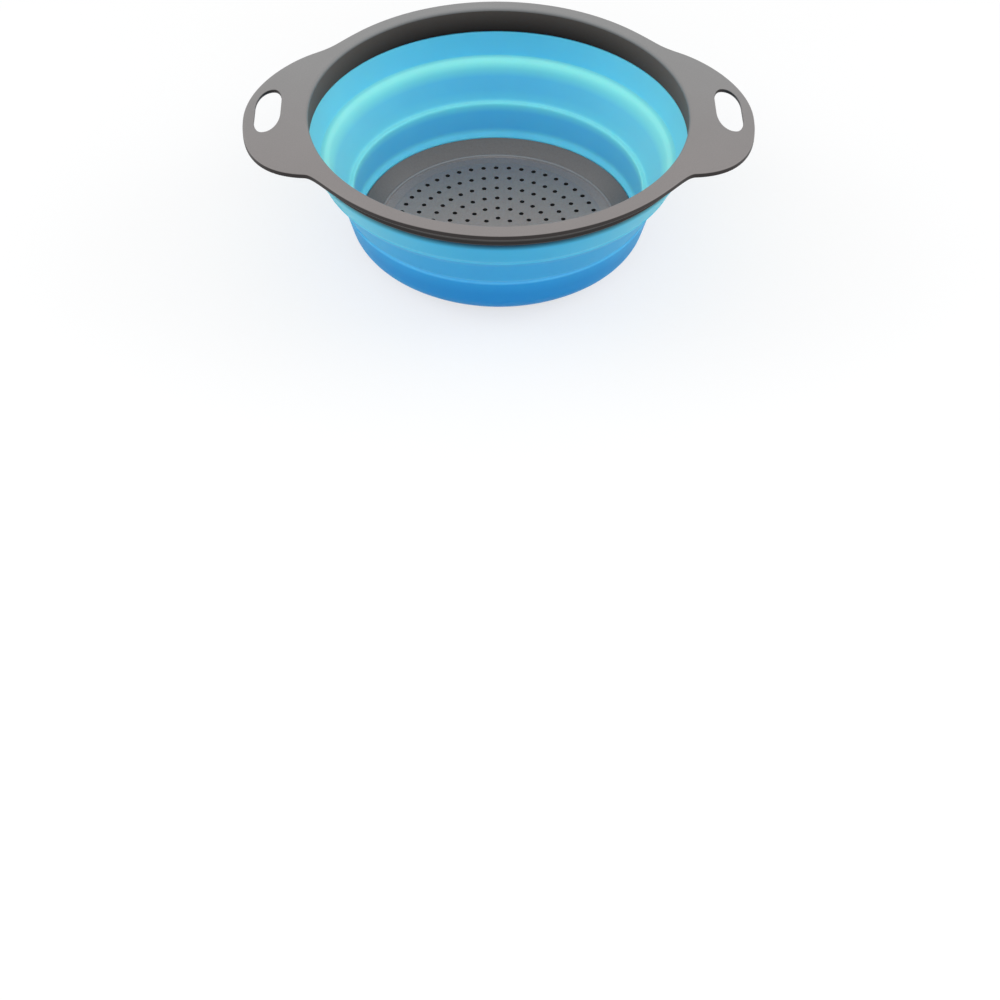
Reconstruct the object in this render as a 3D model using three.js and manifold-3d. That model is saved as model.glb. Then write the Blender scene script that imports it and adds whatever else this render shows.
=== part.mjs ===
// Collapsible colander: a rigid rim with two slotted handles, a folding silicone bowl and a perforated base.
// Millimetres, +Z up. The origin is on the axis, in the plane that the foot stands on.

import * as THREE from "three";
import { mergeVertices } from "three/addons/utils/BufferGeometryUtils.js";
import Module from "manifold-3d";

// Facets
const ringSegments = 60;
const curveSegments = 8;
const filletSegments = 3;
const holeSides = 7;

// Clearance between pieces that touch, and the depth by which joined volumes sink into each other
const fitGap = 0.3;
const joinOverlap = 1.0;

// Heights, stacked from the table to the top of the rim
const floorHeight = 6.5;
const dishDepth = 7.4;
const lowerWallHeight = 20.1;
const foldHeight = 21.6;
const upperWallHeight = 12.4;
const skirtDepth = 14.5;

// Rim frame: the mouth's radius drives every other radius
const mouthRadius = 100.8;
const flangeThickness = 2.6;
const flangeSetback = 0.3;
const flangeEdgeBevel = 0.5;
const mouthFillet = 2.7;
const skirtThickness = 2.2;

// Handles, as curves in the plane of the flange that start and end on the rim; the front is fuller than the
// back. A rise is the distance beyond the rim, a heading the direction in which the outline runs.
const handleRise = 25.2;
const handleTipOffset = -6.2;
const handleBackJoinDegrees = 45.5;
const handleBackJoinReach = 17.9;
const handleBackWaistDegrees = 29.4;
const handleBackWaistRise = 5.6;
const handleBackWaistHeadingDegrees = -32;
const handleBackWaistReachIn = 13.7;
const handleBackWaistReachOut = 18.2;
const handleTipReachBack = 28.7;
const handleTipReachFront = 24.2;
const handleFrontWaistDegrees = -27.3;
const handleFrontWaistRise = 10.2;
const handleFrontWaistHeadingDegrees = -171.4;
const handleFrontWaistReachOut = 21.5;
const handleFrontWaistReachIn = 13.5;
const handleFrontJoinDegrees = -44.1;
const handleFrontJoinReach = 20.5;

// Finger slot in each handle, between an outer band and a band beside the rim. Its middle lies behind the
// handle's, its ends lean, and the corners at the back outside and the front inside are the long ones.
const slotOuterBand = 5.9;
const slotInnerBand = 5.9;
const slotLength = 39.6;
const slotOffset = 1.1;
const slotEndLean = 2.3;
const slotLongCorner = 17.7;
const slotShortCorner = 10.0;

// Clamp ring under the flange, which stands a little proud of it
const clampRingWall = 2.6;
const clampRingSideHeight = 3.5;
const clampRingTaperHeight = 2.2;
const clampRingLip = 1.2;

// Silicone bowl
const collarThickness = 1.8;
const beadWidth = 1.7;
const beadHeight = 1.6;
const upperWallTaper = 5.8;
const upperWallThickness = 1.5;
const foldTaper = 14.2;
const foldThickness = 3.4;
const hingeThickness = 1.6;
const hingeGrooveHeight = 1.8;
const shoulderWidth = 5.5;
const shoulderHeight = 4.6;
const hingeLedgeWidth = 2.6;
const lowerWallTaper = 0.9;
const lowerWallThickness = 3.4;
const ledgeWidth = 2.1;
const ledgeHeight = 2.6;
const bowlTurnHeight = 12.5;
const bowlTurnBulge = 6.5;
const bowlTurnRun = 8.0;
const bowlTurnRise = 5.2;
const lipThickness = 1.3;
const lipFlatWidth = 1.5;

// Strainer base: dished disc with rings of holes
const baseThickness = 2.2;
const baseEdgeBevel = 0.4;
const baseEdgeHeight = 2.6;
const dishConeWidth = 9.3;
const dishRingHeight = 2.5;
const dishStepWidth = 0.6;
const dishStepHeight = 0.7;
const dishSlopeWidth = 7.1;
const holeRadius = 1.1;
const holeFieldMargin = 3.3;
const holeRings = 6;
const holesPerFirstRing = 8;

// Base ring that locks the silicone lip under the base, and its foot
const baseRingInset = 1.0;
const baseRingSeatWidth = 1.0;
const baseRingHoldWidth = 1.9;
const baseRingFlange = 1.3;
const footWidth = 2.5;
const footNotchWidth = 16;
const footNotches = 4;

// Derived heights
const dishEdgeHeight = floorHeight + dishDepth;
const lowerHingeHeight = dishEdgeHeight + lowerWallHeight;
const upperHingeHeight = lowerHingeHeight + foldHeight;
const skirtBottom = upperHingeHeight + upperWallHeight;
const rimTop = skirtBottom + skirtDepth;
const flangeBottom = rimTop - flangeThickness;

// Underside of the base: a flat under the floor, a cone out to the edge
const coneFootHeight = floorHeight - baseThickness;
const coneEdgeHeight = dishEdgeHeight - baseEdgeHeight;

// Derived radii of the rim, from the mouth outwards
const collarInnerRadius = mouthRadius + skirtThickness + fitGap;
const collarOuterRadius = collarInnerRadius + collarThickness;
const beadRadius = collarOuterRadius + beadWidth;
const clampRingRadius = beadRadius + fitGap + clampRingWall;
const rimRadius = clampRingRadius - flangeSetback;

// Derived radii of the wall and the base, from the mouth inwards
const upperHingeRadius = mouthRadius - upperWallTaper;
const lowerHingeRadius = upperHingeRadius - foldTaper;
const lowerWallTopRadius = lowerHingeRadius - hingeLedgeWidth;
const lowerWallFootRadius = lowerWallTopRadius - lowerWallTaper;
const baseRadius = lowerWallFootRadius - ledgeWidth - fitGap;
const dishRingRadius = baseRadius - dishConeWidth;
const dishFloorRadius = dishRingRadius - dishSlopeWidth;
const holePitch = (dishFloorRadius - holeFieldMargin) / holeRings;
const baseRingInnerRadius = dishFloorRadius - baseRingInset;
const footRadius = baseRingInnerRadius + footWidth;
const coneFootRadius = footRadius + baseRingSeatWidth;
const lipInnerRadius = coneFootRadius + fitGap;
const baseRingRadius = lipInnerRadius + baseRingHoldWidth;

const wasm = await Module();
wasm.setup();

// Point of a profile: radius from the axis, height above the table.
function at(radius, height) {
  return new THREE.Vector2(radius, height);
}

// Closed solid from a geometry whose vertices are shared only by position.
function solidOf(geometry) {
  geometry.deleteAttribute("normal");
  geometry.deleteAttribute("uv");
  const merged = mergeVertices(geometry);
  const mesh = new wasm.Mesh({
    numProp: 3,
    vertProperties: new Float32Array(merged.attributes.position.array),
    triVerts: new Uint32Array(merged.index.array),
  });
  return new wasm.Manifold(mesh);
}

// Ring turned about the Z axis from a profile that runs down its inner side and up its outer side.
function turned(profile) {
  const closed = [...profile, profile[0]];
  const geometry = new THREE.LatheGeometry(closed, ringSegments);
  geometry.rotateX(Math.PI / 2);
  return solidOf(geometry);
}

// Named mesh of a solid.
function meshOf(name, solid, material) {
  const result = solid.getMesh();
  const geometry = new THREE.BufferGeometry();
  geometry.setAttribute("position", new THREE.BufferAttribute(new Float32Array(result.vertProperties), 3));
  geometry.setIndex(new THREE.BufferAttribute(new Uint32Array(result.triVerts), 1));
  geometry.computeVertexNormals();
  const mesh = new THREE.Mesh(geometry, material);
  mesh.name = name;
  return mesh;
}

// Points along an arc, both ends included, angles in radians.
function arcPoints(centreX, centreY, radius, start, end, steps) {
  const points = [];
  for (let i = 0; i <= steps; i += 1) {
    const angle = start + ((end - start) * i) / steps;
    points.push(new THREE.Vector2(centreX + radius * Math.cos(angle), centreY + radius * Math.sin(angle)));
  }
  return points;
}

// Full circle without a repeated end point.
function circlePoints(centreX, centreY, radius, sides) {
  return arcPoints(centreX, centreY, radius, 0, 2 * Math.PI, sides).slice(0, sides);
}

// Smooth curve that leaves one point and arrives at the next along given directions.
function easedCurve(start, startAngle, startReach, end, endAngle, endReach) {
  const leave = new THREE.Vector2(Math.cos(startAngle), Math.sin(startAngle)).multiplyScalar(startReach);
  const arrive = new THREE.Vector2(Math.cos(endAngle), Math.sin(endAngle)).multiplyScalar(endReach);
  const curve = new THREE.CubicBezierCurve(start, start.clone().add(leave), end.clone().sub(arrive), end);
  return curve.getPoints(curveSegments);
}

// Point in the plane of the flange: angle from +X in degrees, distance beyond the rim.
function besideRim(degrees, rise) {
  const angle = THREE.MathUtils.degToRad(degrees);
  return new THREE.Vector2(Math.cos(angle), Math.sin(angle)).multiplyScalar(rimRadius + rise);
}

// Outline of the right handle, from where it leaves the rim at the back to where it rejoins it in front.
function handleOutline() {
  const quarterTurn = Math.PI / 2;
  const backJoinHeading = THREE.MathUtils.degToRad(handleBackJoinDegrees) - quarterTurn;
  const backWaistHeading = THREE.MathUtils.degToRad(handleBackWaistHeadingDegrees);
  const frontWaistHeading = THREE.MathUtils.degToRad(handleFrontWaistHeadingDegrees);
  const frontJoinHeading = THREE.MathUtils.degToRad(handleFrontJoinDegrees) - quarterTurn;
  const backJoin = besideRim(handleBackJoinDegrees, 0);
  const backWaist = besideRim(handleBackWaistDegrees, handleBackWaistRise);
  const tip = new THREE.Vector2(rimRadius + handleRise, handleTipOffset);
  const frontWaist = besideRim(handleFrontWaistDegrees, handleFrontWaistRise);
  const frontJoin = besideRim(handleFrontJoinDegrees, 0);
  const pieces = [
    easedCurve(
      backJoin, backJoinHeading, handleBackJoinReach,
      backWaist, backWaistHeading, handleBackWaistReachIn,
    ),
    easedCurve(
      backWaist, backWaistHeading, handleBackWaistReachOut,
      tip, -quarterTurn, handleTipReachBack,
    ),
    easedCurve(
      tip, -quarterTurn, handleTipReachFront,
      frontWaist, frontWaistHeading, handleFrontWaistReachOut,
    ),
    easedCurve(
      frontWaist, frontWaistHeading, handleFrontWaistReachIn,
      frontJoin, frontJoinHeading, handleFrontJoinReach,
    ),
  ];
  return pieces.flatMap((points, i) => (i === 0 ? points : points.slice(1)));
}

// Finger slot of the right handle: its back end is two quarter ellipses, and its front end is the back end
// turned by half a turn about the slot's middle.
function slotOutline() {
  const quarterTurn = Math.PI / 2;
  const halfWidth = (handleRise - slotOuterBand - slotInnerBand) / 2;
  const middle = new THREE.Vector2(rimRadius + slotInnerBand + halfWidth, slotOffset);
  const longTop = slotLength / 2 - slotLongCorner;
  const shortTop = slotLength / 2 - slotShortCorner;
  const longWidth = halfWidth + slotEndLean;
  const shortWidth = halfWidth - slotEndLean;
  const long = new THREE.EllipseCurve(-slotEndLean, longTop, longWidth, slotLongCorner, 0, quarterTurn);
  const short = new THREE.EllipseCurve(
    -slotEndLean, shortTop, shortWidth, slotShortCorner, quarterTurn, 2 * quarterTurn,
  );
  const back = [...long.getPoints(curveSegments), ...short.getPoints(curveSegments).slice(1)];
  const front = back.map((point) => point.clone().negate());
  return [...back, ...front].map((point) => point.add(middle));
}

function mirrored(points) {
  return points.map((point) => new THREE.Vector2(-point.x, point.y)).reverse();
}

// Flange with both handles and their slots, edges bevelled.
function flangePlate() {
  const right = handleOutline();
  const backAngle = THREE.MathUtils.degToRad(handleBackJoinDegrees);
  const frontAngle = THREE.MathUtils.degToRad(handleFrontJoinDegrees);
  const frontSteps = Math.round((ringSegments * (Math.PI + 2 * frontAngle)) / (2 * Math.PI));
  const backSteps = Math.round((ringSegments * (Math.PI - 2 * backAngle)) / (2 * Math.PI));
  const frontRim = arcPoints(0, 0, rimRadius, frontAngle, -Math.PI - frontAngle, frontSteps).slice(1, -1);
  const backRim = arcPoints(0, 0, rimRadius, Math.PI - backAngle, backAngle, backSteps).slice(1, -1);
  const shape = new THREE.Shape([...right, ...frontRim, ...mirrored(right), ...backRim]);
  shape.holes.push(new THREE.Path(circlePoints(0, 0, mouthRadius + mouthFillet, ringSegments)));
  shape.holes.push(new THREE.Path(slotOutline()));
  shape.holes.push(new THREE.Path(mirrored(slotOutline())));
  const geometry = new THREE.ExtrudeGeometry(shape, {
    depth: flangeThickness - 2 * flangeEdgeBevel,
    bevelEnabled: true,
    bevelThickness: flangeEdgeBevel,
    bevelSize: flangeEdgeBevel,
    bevelOffset: -flangeEdgeBevel,
    bevelSegments: 1,
  });
  geometry.translate(0, 0, flangeBottom + flangeEdgeBevel);
  return solidOf(geometry);
}

// Flange, handles and the skirt that lines the mouth, one moulding.
function rimFrame() {
  const flatRadius = mouthRadius + mouthFillet;
  const filletHeight = rimTop - mouthFillet;
  const fillet = arcPoints(flatRadius, filletHeight, mouthFillet, Math.PI / 2, Math.PI, filletSegments);
  const skirt = turned([
    ...fillet,
    at(mouthRadius, skirtBottom),
    at(mouthRadius + skirtThickness, skirtBottom),
    at(mouthRadius + skirtThickness, flangeBottom),
    at(flatRadius + joinOverlap, flangeBottom),
    at(flatRadius + joinOverlap, rimTop),
  ]);
  return flangePlate().add(skirt);
}

// Ring under the flange that holds the bowl's bead; its lower edge tapers in.
function rimClampRing() {
  const top = flangeBottom - fitGap;
  const beadFloor = top - beadHeight - fitGap;
  const bottom = top - clampRingSideHeight - clampRingTaperHeight;
  const innerRadius = collarOuterRadius + fitGap;
  return turned([
    at(beadRadius + fitGap, top),
    at(beadRadius + fitGap, beadFloor),
    at(innerRadius, beadFloor),
    at(innerRadius, bottom),
    at(innerRadius + clampRingLip, bottom),
    at(clampRingRadius, top - clampRingSideHeight),
    at(clampRingRadius, top),
  ]);
}

// Upper band of the bowl with the collar and bead that the rim holds.
function wallUpper() {
  const top = flangeBottom - fitGap;
  const innerTop = skirtBottom - fitGap;
  const bottom = upperHingeHeight + fitGap / 2;
  const slope = (mouthRadius - upperHingeRadius) / (innerTop - bottom);
  const width = upperWallThickness * Math.hypot(1, slope);
  const outerFoot = upperHingeRadius + width;
  return turned([
    at(collarInnerRadius, top),
    at(collarInnerRadius, innerTop),
    at(mouthRadius, innerTop),
    at(upperHingeRadius, bottom),
    at(outerFoot, bottom),
    at(collarOuterRadius, bottom + (collarOuterRadius - outerFoot) / slope),
    at(collarOuterRadius, top - beadHeight),
    at(beadRadius, top - beadHeight),
    at(beadRadius, top),
  ]);
}

// Middle band: it turns over when the colander collapses. A round shoulder, then a straight thick panel.
function wallFold() {
  const top = upperHingeHeight - fitGap / 2;
  const bottom = lowerHingeHeight + fitGap / 2;
  const shoulderFoot = at(upperHingeRadius - shoulderWidth, top - shoulderHeight);
  const slope = (shoulderFoot.x - lowerHingeRadius) / (shoulderFoot.y - bottom);
  const width = foldThickness * Math.hypot(1, slope);
  const shoulder = new THREE.QuadraticBezierCurve(
    at(upperHingeRadius, top),
    at(shoulderFoot.x + slope * shoulderHeight, top),
    shoulderFoot,
  );
  const panelTop = at(
    shoulderFoot.x + width + slope * (shoulderHeight - hingeGrooveHeight),
    top - hingeGrooveHeight,
  );
  return turned([
    ...shoulder.getPoints(filletSegments),
    at(lowerHingeRadius, bottom),
    at(lowerHingeRadius + hingeThickness, bottom),
    at(lowerHingeRadius + width, bottom + hingeGrooveHeight),
    panelTop,
    at(upperHingeRadius + hingeThickness, top),
  ]);
}

// Lower band: ledge inside the hinge, steep wall, ledge round the base, and a lip tucked under it.
function wallLower() {
  const top = lowerHingeHeight - fitGap / 2;
  const ledgeTop = dishEdgeHeight + ledgeHeight;
  const recessRadius = baseRadius + fitGap;
  const lipTop = coneFootHeight - fitGap;
  const outerHingeRadius = lowerHingeRadius + lowerWallThickness;
  const outerFootRadius = lowerWallFootRadius + lowerWallThickness;
  const turnTop = at(outerFootRadius, floorHeight + bowlTurnHeight);
  const turnEnd = at(lipInnerRadius + lipFlatWidth, lipTop - lipThickness);
  const turn = new THREE.CubicBezierCurve(
    turnEnd,
    at(turnEnd.x + bowlTurnRun, turnEnd.y + bowlTurnRise),
    at(turnTop.x, turnTop.y - bowlTurnBulge),
    turnTop,
  );
  return turned([
    at(lowerWallTopRadius, top),
    at(lowerWallFootRadius, ledgeTop),
    at(recessRadius, dishEdgeHeight + fitGap),
    at(recessRadius, coneEdgeHeight - fitGap),
    at(lipInnerRadius, lipTop),
    at(lipInnerRadius, lipTop - lipThickness),
    ...turn.getPoints(curveSegments),
    at(outerHingeRadius, top - hingeGrooveHeight),
    at(lowerHingeRadius + hingeThickness, top),
  ]);
}

// Perforated floor: one centre hole, then rings that each gain the first ring's count.
function perforatedFloor() {
  const shape = new THREE.Shape(circlePoints(0, 0, dishFloorRadius, ringSegments));
  shape.holes.push(new THREE.Path(circlePoints(0, 0, holeRadius, holeSides)));
  for (let ring = 1; ring <= holeRings; ring += 1) {
    const count = holesPerFirstRing * ring;
    for (let i = 0; i < count; i += 1) {
      const angle = Math.PI / 2 + (2 * Math.PI * i) / count;
      const radius = holePitch * ring;
      const x = radius * Math.cos(angle);
      const y = radius * Math.sin(angle);
      shape.holes.push(new THREE.Path(circlePoints(x, y, holeRadius, holeSides)));
    }
  }
  const geometry = new THREE.ExtrudeGeometry(shape, { depth: baseThickness, bevelEnabled: false });
  geometry.translate(0, 0, coneFootHeight);
  return solidOf(geometry);
}

// Dished, perforated disc: a cone at the edge, a fine raised step, a flat floor full of holes.
function strainerBase() {
  const innerRadius = dishFloorRadius - joinOverlap;
  const dish = turned([
    at(innerRadius, floorHeight),
    at(innerRadius, coneFootHeight),
    at(coneFootRadius, coneFootHeight),
    at(baseRadius, coneEdgeHeight),
    at(baseRadius, dishEdgeHeight - baseEdgeBevel),
    at(baseRadius - baseEdgeBevel, dishEdgeHeight),
    at(dishRingRadius, floorHeight + dishRingHeight),
    at(dishRingRadius - dishStepWidth, floorHeight + dishRingHeight - dishStepHeight),
    at(dishFloorRadius, floorHeight),
  ]);
  return perforatedFloor().add(dish);
}

// Ring under the base: its flange holds the lip, and the foot below is notched so that water runs out.
function baseRing() {
  const top = coneFootHeight - fitGap;
  const flangeTop = top - lipThickness - fitGap;
  const ring = turned([
    at(baseRingInnerRadius, top),
    at(baseRingInnerRadius, 0),
    at(footRadius, 0),
    at(footRadius, flangeTop - baseRingFlange),
    at(baseRingRadius, flangeTop - baseRingFlange),
    at(baseRingRadius, flangeTop),
    at(coneFootRadius, flangeTop),
    at(coneFootRadius, top),
  ]);
  const notchHeight = 2 * (flangeTop - baseRingFlange);
  let notched = ring;
  for (let i = 0; i < footNotches / 2; i += 1) {
    const cutter = new THREE.BoxGeometry(2 * rimRadius, footNotchWidth, notchHeight);
    cutter.rotateZ(Math.PI / footNotches + (2 * Math.PI * i) / footNotches);
    notched = notched.subtract(solidOf(cutter));
  }
  return notched;
}

function plastic(colour, roughness) {
  return new THREE.MeshStandardMaterial({ color: colour, roughness, metalness: 0 });
}

const colander = new THREE.Group();
colander.add(meshOf("rim_frame", rimFrame(), plastic("#8f8a89", 0.5)));
colander.add(meshOf("rim_clamp_ring", rimClampRing(), plastic("#3f4142", 0.5)));
colander.add(meshOf("wall_upper", wallUpper(), plastic("#4db3da", 0.45)));
colander.add(meshOf("wall_fold", wallFold(), plastic("#4fb0d6", 0.45)));
colander.add(meshOf("wall_lower", wallLower(), plastic("#3a90cf", 0.45)));
colander.add(meshOf("strainer_base", strainerBase(), plastic("#6a6e73", 0.5)));
colander.add(meshOf("base_ring", baseRing(), plastic("#5a5e62", 0.5)));

export default colander;
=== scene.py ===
"""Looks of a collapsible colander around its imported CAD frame.

Every size is in millimetres, as in the part's own source, and turns to metres when a mesh is made.
The bowl's axis is +Z, the handles lie along X, and the photograph looks along +Y from above.
"""

import logging
import math
from dataclasses import dataclass
from enum import Enum

import bmesh
import bpy
import numpy as np
from mathutils import Matrix, Vector
from mathutils.geometry import delaunay_2d_cdt, tessellate_polygon

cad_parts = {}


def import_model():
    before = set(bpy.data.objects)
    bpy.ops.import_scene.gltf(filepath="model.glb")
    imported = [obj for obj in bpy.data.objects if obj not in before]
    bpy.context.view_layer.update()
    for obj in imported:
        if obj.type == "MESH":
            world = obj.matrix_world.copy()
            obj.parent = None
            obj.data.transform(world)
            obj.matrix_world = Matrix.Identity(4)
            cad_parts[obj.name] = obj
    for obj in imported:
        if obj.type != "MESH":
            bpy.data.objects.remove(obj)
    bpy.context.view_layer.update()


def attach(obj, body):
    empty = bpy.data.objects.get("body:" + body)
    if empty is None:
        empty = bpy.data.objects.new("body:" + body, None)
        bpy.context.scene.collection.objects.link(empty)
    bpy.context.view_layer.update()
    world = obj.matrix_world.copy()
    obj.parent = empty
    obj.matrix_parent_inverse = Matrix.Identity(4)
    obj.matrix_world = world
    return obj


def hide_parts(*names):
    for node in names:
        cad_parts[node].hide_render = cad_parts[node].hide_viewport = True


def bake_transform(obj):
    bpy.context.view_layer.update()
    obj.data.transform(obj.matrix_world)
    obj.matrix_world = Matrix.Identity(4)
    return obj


logging.basicConfig(level=logging.INFO, format="%(message)s")
LOG = logging.getLogger("colander")

METRES_PER_MM = 0.001
MM_PER_METRE = 1000

# Shortest length that counts, in millimetres.
TINY = 1e-6
# An arc takes at most this share of a side, so that the arcs of two corners never meet.
ARC_SIDE_SHARE = 0.48
# Nearly all values of a noise lie between these two.
NOISE_RANGE = (0.3, 0.7)
# A moulded skin's roughness follows its grain by this much up and down.
ROUGHNESS_SPREAD = 0.05
# Several sockets of the Mix node share a name, so those of its share and colours go by number.
MIX_SHARE, MIX_FIRST, MIX_SECOND, MIX_RESULT = 0, 6, 7, 2

Array = np.ndarray
Tree = bpy.types.NodeTree
Node = bpy.types.Node
Socket = bpy.types.NodeSocket
Material = bpy.types.Material
Piece = bpy.types.Object
Pair = tuple[float, float]
Triple = tuple[float, float, float]
# Radius, height and rounding of each corner of a section.
Corners = tuple[Triple, ...]


class Body(Enum):
    """The two CAD bodies that the pieces ride on."""

    BASE = "base"
    RIM = "rim"


# Colour and nodes


def linear(hex_colour: str) -> tuple[float, float, float, float]:
    """Turns an sRGB hex colour to linear light, by the curve that the sRGB standard gives.

    Args:
        hex_colour: Colour as #rrggbb.

    Returns:
        Red, green, blue and an alpha of 1, as Blender's sockets take them.
    """
    shares = np.array([int(hex_colour[i : i + 2], 16) for i in (1, 3, 5)]) / 255
    curved = np.where(shares <= 0.04045, shares / 12.92, ((shares + 0.055) / 1.055) ** 2.4)
    return (*(float(c) for c in curved), 1.0)


def add_node(tree: Tree, kind: str, inputs: dict, **settings: object) -> Node:
    """Adds a node with its settings, its values and its links.

    Args:
        tree: Node tree that gets the node.
        kind: Blender's name of the node's type, without the ShaderNode that it begins with.
        inputs: Value or output socket for each input, by its name or number.
        settings: Properties of the node itself.

    Returns:
        The new node.
    """
    node = tree.nodes.new("ShaderNode" + kind)
    for name, value in settings.items():
        setattr(node, name, value)
    for key, value in inputs.items():
        if isinstance(value, Socket):
            tree.links.new(value, node.inputs[key])
        else:
            node.inputs[key].default_value = value
    return node


def empty_material(name: str) -> tuple[Material, Tree]:
    """Makes a material whose node tree is empty.

    Args:
        name: Name of the material.

    Returns:
        The material and its node tree.
    """
    material = bpy.data.materials.new(name)
    material.use_nodes = True
    material.node_tree.nodes.clear()
    return material, material.node_tree


# Meshes


def ring_angles(count: int) -> Array:
    """Angles round a full circle, evenly spaced, the last one not repeated."""
    return np.arange(count) * (2 * np.pi / count)


def circle_points(angles: Array) -> Array:
    """Plan points of the unit circle: (cos, sin) of each angle."""
    return np.stack([np.cos(angles), np.sin(angles)], -1)


def at_height(plan: Array, height: Array | float) -> Array:
    """Lifts plan points: (x, y) goes to (x, y, height), with heights that fit the rows of points."""
    return np.concatenate([plan, np.broadcast_to(height, (*plan.shape[:-1], 1))], -1)


def band_faces(rows: int, columns: int, close_rows: bool) -> Array:
    """Joins the points of a grid whose columns go all the way round.

    Face (i, j) takes the points (i, j), (i, j+1), (i+1, j+1) and (i+1, j), with j taken round the ring.

    Args:
        rows: Number of rows of points.
        columns: Number of points in each ring.
        close_rows: Whether the last row joins the first one.

    Returns:
        Four point numbers for each face.
    """
    steps = rows if close_rows else rows - 1
    i, j = np.meshgrid(np.arange(steps), np.arange(columns), indexing="ij")
    here, below, beside = i * columns, (i + 1) % rows * columns, (j + 1) % columns
    return np.stack([here + j, here + beside, below + beside, below + j], -1).reshape(-1, 4)


def revolved(profile: Array, angles: Array) -> Array:
    """Turns a profile of radii and heights to rings: radius times (cos, sin) of each angle, row by row."""
    plan = profile[:, :1, None] * circle_points(angles)
    return at_height(plan, profile[:, 1:, None]).reshape(-1, 3)


def rounded(corners: Corners, steps: int, closed: bool = True) -> Array:
    """Rounds the corners of a profile with circular arcs.

    At each corner the arc touches both sides at the distance radius / tan(half the inside angle), cut to
    just under half of the shorter side. Its points are the two touching points, turned about the arc's
    centre in even steps.

    Args:
        corners: Radius from the axis, height, and rounding radius of each corner.
        steps: Steps in each arc.
        closed: Whether the last corner joins the first one.

    Returns:
        Points of the rounded profile.
    """
    points = np.array([c[:2] for c in corners], float)
    radii = np.array([c[2] for c in corners], float)
    before, after = np.roll(points, 1, 0) - points, np.roll(points, -1, 0) - points
    before_length, after_length = np.hypot(*before.T), np.hypot(*after.T)
    before_way, after_way = before / before_length[:, None], after / after_length[:, None]
    inside = np.arccos(np.clip((before_way * after_way).sum(1), -1, 1))
    longest = ARC_SIDE_SHARE * np.minimum(before_length, after_length)
    reach = np.minimum(radii / np.tan(inside / 2), longest)
    radius = reach * np.tan(inside / 2)
    middle = before_way + after_way
    middle /= np.hypot(*middle.T)[:, None]
    centre = points + middle * (radius / np.sin(inside / 2))[:, None]
    start = points + before_way * reach[:, None] - centre
    turn = np.pi - inside
    side = np.sign(before_way[:, 0] * after_way[:, 1] - before_way[:, 1] * after_way[:, 0])
    angle = -side[:, None] * turn[:, None] * np.linspace(0, 1, steps + 1)
    cos, sin = np.cos(angle), np.sin(angle)
    across, up = start[:, :1], start[:, 1:]
    arcs = np.stack([across * cos - up * sin, across * sin + up * cos], -1) + centre[:, None]
    kept = [arcs[k] if radii[k] > 0 else points[k : k + 1] for k in range(len(points))]
    if not closed:
        kept[0], kept[-1] = points[:1], points[-1:]
    return np.concatenate(kept)


def with_roundings(corners: tuple[Pair, ...], radii: tuple[float, ...]) -> Corners:
    """Puts each corner's rounding beside its radius and height."""
    return tuple((*corner, radius) for corner, radius in zip(corners, radii))


def refined(profile: Array, longest: float) -> Array:
    """Divides each side of a closed profile into equal parts no longer than longest.

    Part k of n starts at point + k / n times the way to the next point. Columns after the first two, such
    as a share, are carried along in the same way.

    Args:
        profile: Radius and height of each point, and any further columns.
        longest: Longest part, in millimetres.

    Returns:
        Rows of the refined profile.
    """
    side = np.roll(profile, -1, 0) - profile
    parts = np.ceil(np.maximum(np.hypot(side[:, 0], side[:, 1]), TINY) / longest).astype(int)
    first = np.repeat(np.cumsum(parts) - parts, parts)
    t = (np.arange(parts.sum()) - first) / np.repeat(parts, parts)
    return np.repeat(profile, parts, 0) + t[:, None] * np.repeat(side, parts, 0)


def make_piece(name: str, points: Array, faces: list[Array], material: Material) -> Piece:
    """Makes a smooth closed piece from points in millimetres, with its faces turned outwards.

    Args:
        name: Name of the piece.
        points: Points in millimetres.
        faces: Arrays of point numbers, one face in each row.
        material: Material of the whole piece.

    Returns:
        The object, at the origin.
    """
    mesh = bpy.data.meshes.new(name)
    totals = np.concatenate([np.full(len(f), f.shape[1]) for f in faces])
    corners = np.concatenate([f.ravel() for f in faces])
    mesh.vertices.add(len(points))
    mesh.vertices.foreach_set("co", (points * METRES_PER_MM).astype(np.float32).ravel())
    mesh.loops.add(len(corners))
    mesh.loops.foreach_set("vertex_index", corners.astype(np.int32))
    mesh.polygons.add(len(totals))
    mesh.polygons.foreach_set("loop_start", (np.cumsum(totals) - totals).astype(np.int32))
    mesh.update(calc_edges=True)
    mesh.validate()
    work = bmesh.new()
    work.from_mesh(mesh)
    bmesh.ops.recalc_face_normals(work, faces=work.faces)
    work.to_mesh(mesh)
    work.free()
    mesh.polygons.foreach_set("use_smooth", np.ones(len(mesh.polygons), bool))
    mesh.materials.append(material)
    piece = bpy.data.objects.new(name, mesh)
    bpy.context.scene.collection.objects.link(piece)
    LOG.info("%s: %d points, %d faces", name, len(points), len(totals))
    return piece


def store(piece: Piece, name: str, values: Array) -> None:
    """Stores a share or a linear colour for each point, for the piece's material to read.

    Args:
        piece: Piece that gets the attribute.
        name: Name of the attribute.
        values: One number for each point, or red, green, blue and alpha.
    """
    kind, field = ("FLOAT", "value") if values.ndim == 1 else ("FLOAT_COLOR", "color")
    attribute = piece.data.attributes.new(name, kind, "POINT")
    attribute.data.foreach_set(field, values.astype(np.float32).ravel())


def dress_faces(piece: Piece, materials: list[Material], slots: list[Array]) -> None:
    """Gives a piece further materials, and each face the number of its own, 0 for the first one.

    Args:
        piece: Piece that has one material so far.
        materials: Materials to add.
        slots: Number of the material of each face, in arrays that follow one another.
    """
    for material in materials:
        piece.data.materials.append(material)
    piece.data.polygons.foreach_set("material_index", np.concatenate(slots).astype(np.int32))


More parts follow.
